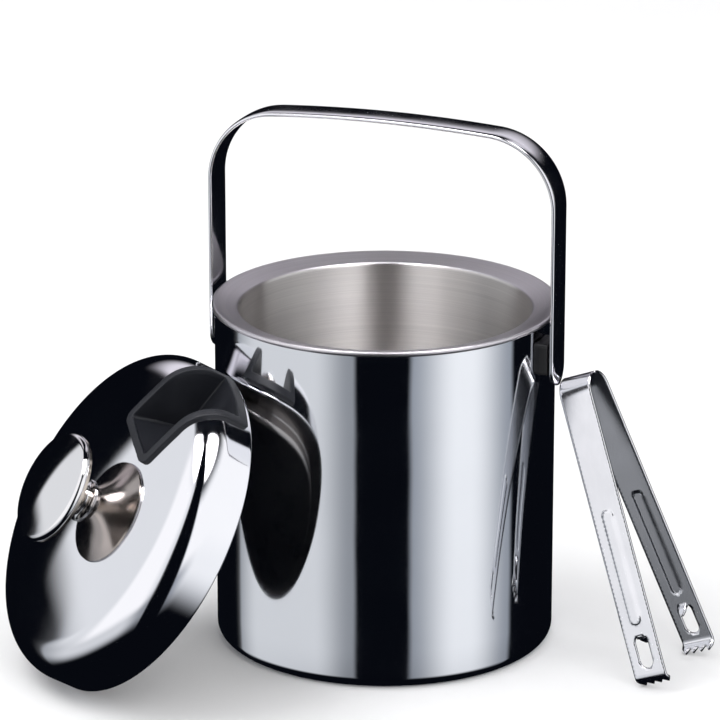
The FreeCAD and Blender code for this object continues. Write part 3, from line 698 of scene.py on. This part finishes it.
def rounded_loop(half, low, high, round_low, round_high, counts):
    """Rounded rectangle as (across, along) points, the same number of points for the same counts."""
    short, long, corner = counts
    spots = []
    corners = (((-half + round_low, low + round_low), round_low, pi),
               ((half - round_low, low + round_low), round_low, 1.5 * pi),
               ((half - round_high, high - round_high), round_high, 0.0),
               ((-half + round_high, high - round_high), round_high, 0.5 * pi))
    for k, (centre, radius, start) in enumerate(corners):
        angles = [start + pi / 2 * j / corner for j in range(corner + 1)]
        arc = [(centre[0] + radius * cos(a), centre[1] + radius * sin(a)) for a in angles]
        after, after_r, after_start = corners[(k + 1) % 4]
        goal = (after[0] + after_r * cos(after_start), after[1] + after_r * sin(after_start))
        last = arc[-1]
        steps = short if k % 2 == 0 else long
        run = [(last[0] + (goal[0] - last[0]) * j / steps, last[1] + (goal[1] - last[1]) * j / steps)
               for j in range(1, steps)]
        spots += arc + run
    return spots


def pocket_mesh():
    """The pocket's frame, laid over the dome from the crown down to the skirt."""
    counts = (34, 72, 8)
    outer = rounded_loop(FRAME_HALF, 0, FRAME_LENGTH, FRAME_ROUND, 1.2 * MM, counts)
    inner_end = FRAME_LENGTH - (POCKET_FLOOR - FRAME_LOW)
    inner = rounded_loop(FRAME_HALF - FRAME_W, FRAME_W, inner_end, POCKET_ROUND, 0.6 * MM, counts)
    corners = [(0.0, 0.2 * MM, 0), (0.0, FRAME_T, FRAME_EASE), (FRAME_W, FRAME_T, FRAME_EASE)]
    corners += [(FRAME_W, 0.0, 0)]
    section = [(0.0, -FRAME_SINK)] + eased(corners, False) + [(FRAME_W, -0.1 * MM)]
    bm = bmesh.new()
    rings = []
    for (ay, along_a), (by, along_b) in zip(inner, outer):
        ring = []
        for across, lift in section:
            t = across / FRAME_W
            along = along_a + (along_b - along_a) * t
            point, normal = dome_point(ay + (by - ay) * t, along / FRAME_LENGTH)
            ring.append(bm.verts.new(point + normal * lift))
        rings.append(ring)
    for k, ring in enumerate(rings):
        after = rings[(k + 1) % len(rings)]
        for j in range(len(section) - 1):
            bm.faces.new((ring[j], ring[j + 1], after[j + 1], after[j]))
    sharpen(bm, radians(40))
    return finish_mesh("tongs_pocket_frame", bm)


def dome_height(r):
    """Height of the lid's top at a radius, over the crown and the shoulder."""
    if r < MEET_R:
        return crown_height(r)
    return LID_SKIRT + sqrt(max(0, SHOULDER_R ** 2 - (r - LID_R + SHOULDER_R) ** 2))


def cup_spot(x, y, share, turn):
    """Place on the cup's wall for a point of its plan: share of the way down, then turn into the floor."""
    half = FRAME_HALF - FRAME_W
    back = FRAME_IN + FRAME_W
    if x > POCKET_END - 0.1 * MM:
        top, low = POCKET_FLOOR + 0.02 * MM, POCKET_FLOOR + 0.01 * MM
        return sqrt(POCKET_END_R ** 2 - y * y), y, top + (low - top) * share
    top = dome_height(min(hypot(x, y), LID_R - 0.02 * MM)) + SHEET / 2
    low = POCKET_FLOOR + POCKET_FLOOR_ROUND * (1 - sin(turn * pi / 2))
    inset = POCKET_FLOOR_ROUND * (1 - cos(turn * pi / 2))
    lean = max(0.0, 1 - (x - back) / POCKET_SLOPE_DEPTH)
    # Known flaw: from about half the depth down the slope overtakes itself and the side walls double back.
    x += POCKET_SLOPE * share * lean * lean * (3 - 2 * lean)
    if abs(y) < half - 0.1 * MM:
        x += inset
    if abs(y) > half - POCKET_FLOOR_ROUND:
        y -= inset * (1 if y > 0 else -1)
    return x, y, top + (low - top) * share


def cup_mesh():
    """The pocket's walls and floor inside its frame."""
    half = FRAME_HALF - FRAME_W
    plan = rounded_loop(half, FRAME_IN + FRAME_W, POCKET_END, POCKET_ROUND, 0.05 * MM, (30, 44, 6))
    levels = [(share, 0.0) for share in (0.0, 0.2, 0.4, 0.6, 0.8, 1.0)]
    levels += [(1.0, turn) for turn in (0.35, 0.7, 1.0)]
    bm = bmesh.new()
    rings = [[bm.verts.new(cup_spot(x, y, share, turn)) for y, x in plan] for share, turn in levels]
    for high, low in zip(rings, rings[1:]):
        for k in range(len(high)):
            n = (k + 1) % len(high)
            bm.faces.new((high[k], high[n], low[n], low[k]))
    bm.faces.new(rings[-1])
    sharpen(bm, radians(50))
    return finish_mesh("tongs_pocket_cup", bm)


# ---------------------------------------------------------------- knob
def knob_foot_mesh():
    """The foot on the crown, swept in to the neck."""
    edge = crown_height(KNOB_FOOT_R)
    ease = 0.4 * MM
    outline = [(r, crown_height(r) + 0.02 * MM) for r in (SCREW_R, 5 * MM, 7 * MM, KNOB_FOOT_R - 0.1 * MM)]
    outline += arc_points((KNOB_FOOT_R - ease, edge + ease), ease, -0.9, 1.2, radians(12))
    end = Vector((KNOB_NECK_R, KNOB_FOOT_TOP))
    bow = Vector((KNOB_NECK_R + 0.3 * MM, edge + 1.2 * MM))
    outline += [tuple(point) for point in bowed(Vector(outline[-1]), bow, end, 16)[1:]]
    outline += [(KNOB_NECK_R - ease, KNOB_FOOT_TOP), (SCREW_R, KNOB_FOOT_TOP)]
    return lathe("knob_foot_skin", outline, segments=128)


def knob_neck_mesh():
    """The short collar between the foot and the lower half."""
    r = KNOB_NECK_R - 0.6 * MM
    ease = 0.3 * MM
    corners = [(SCREW_R, KNOB_FOOT_TOP, 0), (r, KNOB_FOOT_TOP, ease), (r, KNOB_NECK_TOP, ease)]
    outline = eased(corners + [(SCREW_R, KNOB_NECK_TOP, 0)])
    return lathe("knob_neck_skin", outline, segments=96)


def knob_shell_mesh():
    """The trumpet-shaped lower half, with the inside offset by the sheet."""
    t = KNOB_SHEET
    low = KNOB_NECK_TOP
    rim = KNOB_R - 0.5 * MM
    seam = KNOB_SEAM - KNOB_SEAM_GAP
    start = Vector((KNOB_NECK_R + 1 * MM, low))
    bow = Vector((KNOB_BELL_R, low + KNOB_BELL_RISE))
    curve = bowed(start, bow, Vector((rim, KNOB_SEAM - KNOB_BELL_LIP)), 20)
    outline = [(SCREW_R, low)] + [tuple(p) for p in curve] + [(rim, seam), (rim - t, seam)]
    outline += [(p.x - 0.3 * t, p.y + t * 0.95) for p in reversed(curve[:-1])] + [(SCREW_R, low + t)]
    return lathe("knob_shell_skin", outline, segments=192)


def knob_cap_mesh():
    """The cap: rim, rounded shoulder and a slightly crowned top."""
    t = KNOB_SHEET
    shoulder_r = KNOB_R - KNOB_ROUND
    shoulder_z = KNOB_SEAM + KNOB_RIM + KNOB_ROUND
    rise = KNOB_TOP - shoulder_z
    crown_r = (shoulder_r ** 2 + rise ** 2) / (2 * rise)
    centre_z = KNOB_TOP - crown_r
    meet = atan2(shoulder_z - centre_z, shoulder_r)
    lean = pi / 2 - meet
    ease = 0.4 * MM
    outline = [(KNOB_R - t, KNOB_SEAM + 0.1 * MM)]
    outline += arc_points((KNOB_R - ease, KNOB_SEAM + ease), ease, -pi / 2, 0, radians(20))
    outline += arc_points((shoulder_r, shoulder_z - KNOB_ROUND), KNOB_ROUND, 0, pi / 2 - lean, radians(6))
    outline += arc_points((0, centre_z), crown_r, meet, pi / 2, radians(0.6))[1:]
    outline[-1] = (0, KNOB_TOP)
    outline += [(0, KNOB_TOP - t)] + arc_points((0, centre_z - t), crown_r, pi / 2, meet, radians(1.5))[1:]
    outline += [(KNOB_R - t, shoulder_z - KNOB_ROUND)]
    return lathe("knob_cap_skin", outline, segments=192)


# ---------------------------------------------------------------- tongs
def tongs_side():
    """Lengths and a function from distance above the tip to (y, z, outward normal) on the mid-surface."""
    r = BOW_R - TONGS_T / 2
    bow_z = TONGS_LENGTH - BOW_R
    tip_turn = pi / 2 - SPLAY - TIP_BEND
    bend_z = TIP_LENGTH * sin(tip_turn)
    arm_top = (BOW_R * cos(SPLAY), bow_z + BOW_R * sin(SPLAY))
    arm = (arm_top[1] - bend_z) / cos(SPLAY)
    bend_y = arm_top[0] + arm * sin(SPLAY)
    cut = TIP_BEND_R * tan(TIP_BEND / 2)
    shift = TONGS_T / 2 * tan(TIP_BEND / 2)
    tip_run = TIP_LENGTH - shift - cut
    arm_run = arm - shift - cut
    bend_run = TIP_BEND_R * TIP_BEND
    bow_run = r * (pi / 2 - SPLAY)
    up = Vector((-sin(SPLAY), cos(SPLAY)))
    out = Vector((cos(SPLAY), sin(SPLAY)))
    corner = Vector((bend_y, bend_z)) - out * TONGS_T / 2 + up * shift
    tip_up = Vector((cos(tip_turn), sin(tip_turn)))
    tip_out = Vector((sin(tip_turn), -cos(tip_turn)))
    tip = corner - tip_up * (tip_run + cut)
    bend_centre = corner + up * cut - out * TIP_BEND_R

    def place(d):
        if d <= tip_run:
            return tip + tip_up * d, tip_out
        d -= tip_run
        if d <= bend_run:
            a = d / bend_run
            normal = tip_out.lerp(out, a).normalized()
            angle = -TIP_BEND * (1 - a)
            spun = Matrix.Rotation(angle, 2) @ out
            return bend_centre + spun * TIP_BEND_R, normal
        d -= bend_run
        if d <= arm_run:
            return corner + up * (cut + d), out
        d -= arm_run
        a = SPLAY + min(d / bow_run, 1) * (pi / 2 - SPLAY)
        return Vector((r * cos(a), bow_z + r * sin(a))), Vector((cos(a), sin(a)))

    return tip_run + bend_run + arm_run + bow_run, tip_run + bend_run / 2, place


def capsule_depth(x, h, width, ends):
    """How far a point is inside a round-ended slot, negative outside."""
    r = width / 2
    low, high = ends[0] + r, ends[1] - r
    past = max(low - h, 0, h - high)
    return r - hypot(x, past)


def capsule_loop(width, ends, step=radians(15)):
    """Outline of a round-ended slot."""
    r = width / 2
    return arc_points((0, ends[1] - r), r, 0, pi, step) + arc_points((0, ends[0] + r), r, pi, 2 * pi, step)


def tongs_mesh(name, side):
    """One arm's mid-surface: a flat pattern with teeth, hole and rib, bent along the arm's side line."""
    total, bend_at, place = tongs_side()
    half = TONGS_W / 2
    pitch = TONGS_W / TOOTH_COUNT
    outline = []
    for k in range(TOOTH_COUNT):
        left = -half + k * pitch
        outline += [(left + TOOTH_ROOT, TOOTH_DEPTH), (left + pitch / 2 - TOOTH_FLAT, TOOTH_TRIM),
                    (left + pitch / 2 + TOOTH_FLAT, TOOTH_TRIM)]
    outline += [(half - TOOTH_ROOT, TOOTH_DEPTH)]
    rows = ceil((total - TOOTH_DEPTH) / ARM_STEP)
    outline += [(half, TOOTH_DEPTH + 0.6 * MM)]
    outline += [(half, TOOTH_DEPTH + (total - TOOTH_DEPTH) * k / rows) for k in range(1, rows + 1)]
    outline += [(half - TONGS_W * k / ARM_COLUMNS, total) for k in range(1, ARM_COLUMNS)]
    outline += [(-half, TOOTH_DEPTH + (total - TOOTH_DEPTH) * k / rows) for k in range(rows, 0, -1)]
    outline += [(-half, TOOTH_DEPTH + 0.6 * MM)]
    hole_ends = (bend_at + HOLE_ENDS[0], bend_at + HOLE_ENDS[1])
    rib_ends = (bend_at + RIB_ENDS[0], bend_at + RIB_ENDS[1])
    hole = capsule_loop(HOLE_W, hole_ends)
    points = [Vector(p) for p in outline] + [Vector(p) for p in hole]
    count, hole_count = len(outline), len(hole)
    edges = [(k, (k + 1) % count) for k in range(count)]
    edges += [(count + k, count + (k + 1) % hole_count) for k in range(hole_count)]
    for inset in (0, RIB_RAMP / 2, RIB_RAMP):
        loop = capsule_loop(RIB_W - 2 * inset, (rib_ends[0] + inset, rib_ends[1] - inset))
        points += [Vector(p) for p in divided(loop, 0.7 * MM)]
    row = 0
    d = 0.6 * MM
    while d < total - 0.4 * MM:
        offset = 0.25 * MM if row % 2 else -0.25 * MM
        for k in range(1, ARM_COLUMNS):
            x = -half + TONGS_W * k / ARM_COLUMNS + offset
            near_hole = capsule_depth(x, d, HOLE_W, hole_ends) > -0.45 * MM
            if (d > TOOTH_DEPTH + 0.5 * MM) and not near_hole:
                points.append(Vector((x, d)))
        d += ARM_STEP * 0.95
        row += 1
    verts, _, faces, *_ = delaunay_2d_cdt(points, edges, [], 0, 1e-7)

    def inside_teeth(x, d):
        if d >= TOOTH_DEPTH:
            return True
        phase = abs(((x + half) % pitch) - pitch / 2)
        return phase < pitch / 2 * d / TOOTH_DEPTH + 0.15 * MM

    bm = bmesh.new()
    made = []
    for x, d in verts:
        (y, z), normal = place(d)
        rise = capsule_depth(x, d, RIB_W, rib_ends) / RIB_RAMP
        rise = min(max(rise, 0), 1)
        rise = rise * rise * (3 - 2 * rise) * RIB_RISE
        made.append(bm.verts.new((x, side * (y + normal.x * rise), z + normal.y * rise)))
    for face in faces:
        x = sum(verts[k][0] for k in face) / len(face)
        d = sum(verts[k][1] for k in face) / len(face)
        in_hole = capsule_depth(x, d, HOLE_W, hole_ends) > 0
        if abs(x) < half and not in_hole and inside_teeth(x, d):
            bm.faces.new([made[k] for k in face])
    add_prong(bm, place, hole_ends[1], side)
    loose = [v for v in bm.verts if not v.link_faces]
    bmesh.ops.delete(bm, geom=loose, context="VERTS")
    return finish_mesh(name, bm)


def add_prong(bm, place, root, side):
    """Tab bent inwards from the upper end of the hole."""
    foot, out = place(root + PRONG_ROOT)
    down = Vector((out.y, -out.x))
    if down.y > 0:
        down = -down
    columns = [k * PRONG_W / PRONG_COLUMNS - PRONG_W / 2 for k in range(PRONG_COLUMNS + 1)]
    rows = []
    for k in range(PRONG_ROWS + 1):
        reach = PRONG_LENGTH * k / PRONG_ROWS
        bend = PRONG_BEND * reach / PRONG_BEND_RUN / 2 if reach < PRONG_BEND_RUN else PRONG_BEND
        point = foot + down * cos(bend) * reach - out * sin(bend) * reach
        taper = 1 - PRONG_TAPER * max(0, k - PRONG_TAPER_ROW)
        rows.append([bm.verts.new((x * taper, side * point.x, point.y)) for x in columns])
    for low, high in zip(rows, rows[1:]):
        for k in range(PRONG_COLUMNS):
            bm.faces.new((low[k], low[k + 1], high[k + 1], high[k]))


# ---------------------------------------------------------------- make the pieces
shell_steel = mirror_steel("shell_polish", (0.83, 0.84, 0.87))
lid_steel = mirror_steel("lid_polish", (0.84, 0.84, 0.87), rough=(0.03, 0.075))
knob_steel = mirror_steel("knob_polish", (0.82, 0.81, 0.82), rough=(0.04, 0.09))
# Painted shade: the knob's lower half gets a darker, warmer tint than the cap's steel, standing in for the
# shadow under the cap.
knob_shaded_steel = mirror_steel("knob_underside_painted_shade", (0.60, 0.54, 0.48), rough=(0.13, 0.22))
bowl_steel = brushed_rings("bowl_brushed", (0.79, 0.765, 0.75), 0.36, 1.0)
lip_steel = brushed_rings("lip_satin", (0.66, 0.635, 0.665), 0.36, 0.35)
plate_steel = satin_steel("plate_satin", (0.68, 0.68, 0.68), 0.34)
# Painted shade: the pan's satin steel is tinted much darker than the base plate's, standing in for the
# lid's shadow over it.
pan_shaded_steel = satin_steel("pan_satin_painted_shade", (0.40, 0.38, 0.37), 0.30)
bail_steel = lengthwise_steel("bail_polish", (0.80, 0.80, 0.83), 0.10, "X")
arm_steel = lengthwise_steel("tongs_polish", (0.82, 0.82, 0.85), 0.17, "Z", 0.004 * MM)
fastener_steel = satin_steel("fastener_steel", (0.60, 0.60, 0.62), 0.30)
block_plastic = moulded_plastic("block_black", (0.012, 0.012, 0.013), 0.42, 0.020 * MM)
pocket_plastic = moulded_plastic("pocket_charcoal", (0.013, 0.014, 0.018), 0.40, 0.015 * MM)
nylon = moulded_plastic("washer_black", (0.02, 0.02, 0.02), 0.5, 0.010 * MM)

add_piece("outer_shell_skin", shell_mesh(), "bucket", shell_steel, replaces=["outer_shell"])
add_piece("inner_liner_skin", bowl_mesh(), "bucket", [bowl_steel, lip_steel],
          replaces=["inner_liner"])
add_piece("bail_strap_skin", bail_mesh(), "bail", bail_steel, replaces=["bail_strap"])

dome = add_piece("lid_dome_skin", dome_mesh(), "lid", lid_steel, LID_PLACE, ["lid_dome"])
thicken(dome, SHEET, -1)
for name, make_mesh, slot, steel, stands_for in (
        ("lid_pan_skin", pan_mesh, "satin_steel", pan_shaded_steel, ["lid_pan"]),
        ("tongs_pocket_frame", pocket_mesh, "pocket_plastic", pocket_plastic, ["tongs_pocket"]),
        ("tongs_pocket_cup", cup_mesh, "pocket_plastic", pocket_plastic, []),
        ("knob_foot_skin", knob_foot_mesh, "mirror_steel", knob_steel, ["knob_base"]),
        ("knob_neck_skin", knob_neck_mesh, "screw_steel", fastener_steel, ["knob_neck"]),
        ("knob_shell_skin", knob_shell_mesh, "mirror_steel", knob_shaded_steel, ["knob_shell"]),
        ("knob_cap_skin", knob_cap_mesh, "mirror_steel", knob_steel, ["knob_cap"])):
    add_piece(name, make_mesh(), "lid", steel, LID_PLACE, stands_for)

for node, body, side in (("tongs_far_arm", "tongs_moving_arm", 1), ("tongs_near_arm", "tongs", -1)):
    skin = node + "_skin"
    arm = add_piece(skin, tongs_mesh(skin, side), body, arm_steel, TONGS_PLACE, [node])
    thicken(arm, TONGS_T, 0)

for node, material in (("base_plate", plate_steel), ("block_screws_left", fastener_steel),
                       ("block_screws_right", fastener_steel), ("pivot_pin_left", fastener_steel),
                       ("pivot_pin_right", fastener_steel), ("pivot_washer_left", nylon),
                       ("pivot_washer_right", nylon), ("pivot_block_left", block_plastic),
                       ("pivot_block_right", block_plastic), ("knob_nut", fastener_steel),
                       ("knob_washer", fastener_steel), ("knob_screw", fastener_steel)):
    for material_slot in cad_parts[node].material_slots:
        material_slot.material = material

for node in ("pivot_block_left", "pivot_block_right"):
    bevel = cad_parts[node].modifiers.new("soft_edges", "BEVEL")
    bevel.width = BLOCK_EASE
    bevel.segments = 3
    bevel.limit_method = "ANGLE"
    bevel.angle_limit = radians(40)


# ---------------------------------------------------------------- stage, light and camera
FLOOR_HALF = 6.0
LAMP_AIM = Vector((0, 0, 0.05))


def floor():
    """Plain pale floor that the polished metal doesn't mirror."""
    bm = bmesh.new()
    corners = ((-1, -1), (1, -1), (1, 1), (-1, 1))
    bm.faces.new([bm.verts.new((x * FLOOR_HALF, y * FLOOR_HALF, 0)) for x, y in corners])
    mesh = finish_mesh("floor", bm, smooth=False)
    made = bpy.data.objects.new("floor", mesh)
    bpy.context.scene.collection.objects.link(made)
    paint, s, surface, place = new_material("floor_pale", 0.0, 0.6, (0.90, 0.90, 0.90))
    s.set(surface, "Base Color", s.blend(s.noise(place, 3.0), (0.89, 0.89, 0.89, 1), (0.91, 0.91, 0.91, 1)))
    surface.inputs["Specular IOR Level"].default_value = 0.1
    mesh.materials.append(paint)
    made.visible_glossy = False


# Soft boxes round the object as the polished metal sees them: bearing from the camera's side and height
# above the horizon of each edge, in degrees, softness across and upwards, and colour. A later one covers
# an earlier one.
SOFT_BOXES = [
    (24, 100, 60, 80, 5, 6, (12.0, 11.8, 12.0)),
    (262, 333, 62, 80, 5, 6, (12.0, 11.8, 12.0)),
    (138, 222, 22, 36, 8, 7, (0.86, 0.83, 0.90)),
    (138, 156, 36, 62, 4, 4, (0.86, 0.83, 0.90)),
    (204, 222, 36, 62, 4, 4, (0.86, 0.83, 0.90)),
    (17, 95, -30, 47, 2.5, 14, (0.34, 0.37, 0.42)),
    (33, 77, -30, 47, 18, 14, (1.03, 1.05, 1.08)),
    (18, 110, -4, 47, 3, 9, (1.12, 1.13, 1.15)),
    (-117, -20, -30, 60, 2, 10, (0.31, 0.33, 0.36)),
    (-110, -36, -29, 60, 14, 9, (0.74, 0.76, 0.79)),
    (-127, -20, 4, 60, 1.5, 3, (0.86, 0.88, 0.91)),
    (-113, -20, -6, 60, 5, 8, (0.86, 0.88, 0.91)),
    (-92, -29, -10, 59, 9, 6, (1.14, 1.14, 1.16)),
]
DARK_ROOM = (0.0025, 0.0032, 0.0055)


def studio():
    """White surroundings, and soft boxes in a dark room for what the metal reflects."""
    world = bpy.data.worlds.new("studio")
    bpy.context.scene.world = world
    world.use_nodes = True
    world.cycles.sampling_method = "NONE"
    s = Shader(world.node_tree)
    out = world.node_tree.nodes["Background"]
    direction = s.node("ShaderNodeTexCoord").outputs["Generated"]
    x, y, z = s.node("ShaderNodeSeparateXYZ", {"Vector": direction}).outputs
    side = cos(VIEW_AZIMUTH), sin(VIEW_AZIMUTH)
    ahead = s.math("ADD", s.math("MULTIPLY", x, side[0]), s.math("MULTIPLY", y, side[1]))
    right = s.math("SUBTRACT", s.math("MULTIPLY", y, side[0]), s.math("MULTIPLY", x, side[1]))
    bearing = s.math("MULTIPLY", s.math("ARCTAN2", right, ahead), 180 / pi)
    height = s.math("MULTIPLY", s.math("ARCSINE", z), 180 / pi)
    colour = (*DARK_ROOM, 1)
    for start, end, low, high, soft, soft_up, light in SOFT_BOXES:
        middle = (start + end) / 2
        wrapped = s.math("WRAP", s.math("SUBTRACT", bearing, middle), -180)
        wrapped.node.inputs[2].default_value = 180
        off = s.math("ABSOLUTE", wrapped)
        half = (end - start) / 2
        across = s.remap(off, half - soft, half + soft, 1, 0, smooth=True)
        up = s.math("MULTIPLY", s.remap(height, low - soft_up, low + soft_up, 0, 1, smooth=True),
                    s.remap(height, high - soft_up, high + soft_up, 1, 0, smooth=True))
        colour = s.blend(s.math("MULTIPLY", across, up), colour, (*light, 1))
    path = s.node("ShaderNodeLightPath").outputs
    seen = s.blend(path["Is Glossy Ray"], (0.95, 0.95, 0.96, 1), colour)
    s.set(out, "Color", seen)


def soft_light(name, place, size, power):
    """A rectangular lamp aimed low at the bucket, which the polished metal doesn't mirror."""
    data = bpy.data.lights.new(name, "AREA")
    data.shape = "RECTANGLE"
    data.size, data.size_y = size
    data.energy = power
    made = bpy.data.objects.new(name, data)
    bpy.context.scene.collection.objects.link(made)
    made.location = place
    made.rotation_mode = "QUATERNION"
    made.rotation_quaternion = (LAMP_AIM - Vector(place)).to_track_quat("-Z", "Y")
    made.visible_glossy = False


def camera():
    """The photograph's view: bearing, distance, height, dip and lens."""
    data = bpy.data.cameras.new("camera")
    data.lens = CAMERA_LENS
    data.sensor_width = 36
    data.clip_start, data.clip_end = 0.05, 50
    made = bpy.data.objects.new("camera", data)
    bpy.context.scene.collection.objects.link(made)
    turn = Matrix.Rotation(CAMERA_AZIMUTH, 3, "Z")
    sight = Vector((sin(CAMERA_YAW) * cos(CAMERA_DIP), cos(CAMERA_YAW) * cos(CAMERA_DIP), -sin(CAMERA_DIP)))
    right = Vector((cos(CAMERA_YAW), -sin(CAMERA_YAW), 0))
    up = right.cross(sight)
    axes = Matrix((turn @ right, turn @ up, turn @ -sight)).transposed()
    made.matrix_world = Matrix.Translation(turn @ Vector((0, -CAMERA_RANGE, CAMERA_HEIGHT))) @ axes.to_4x4()
    bpy.context.scene.camera = made


floor()
studio()
soft_light("key", (-0.9, -0.5, 1.6), (1.2, 1.2), 14)
soft_light("fill", (1.1, -0.9, 1.3), (1.2, 1.0), 8)
camera()
bpy.context.scene.view_settings.view_transform = "Standard"
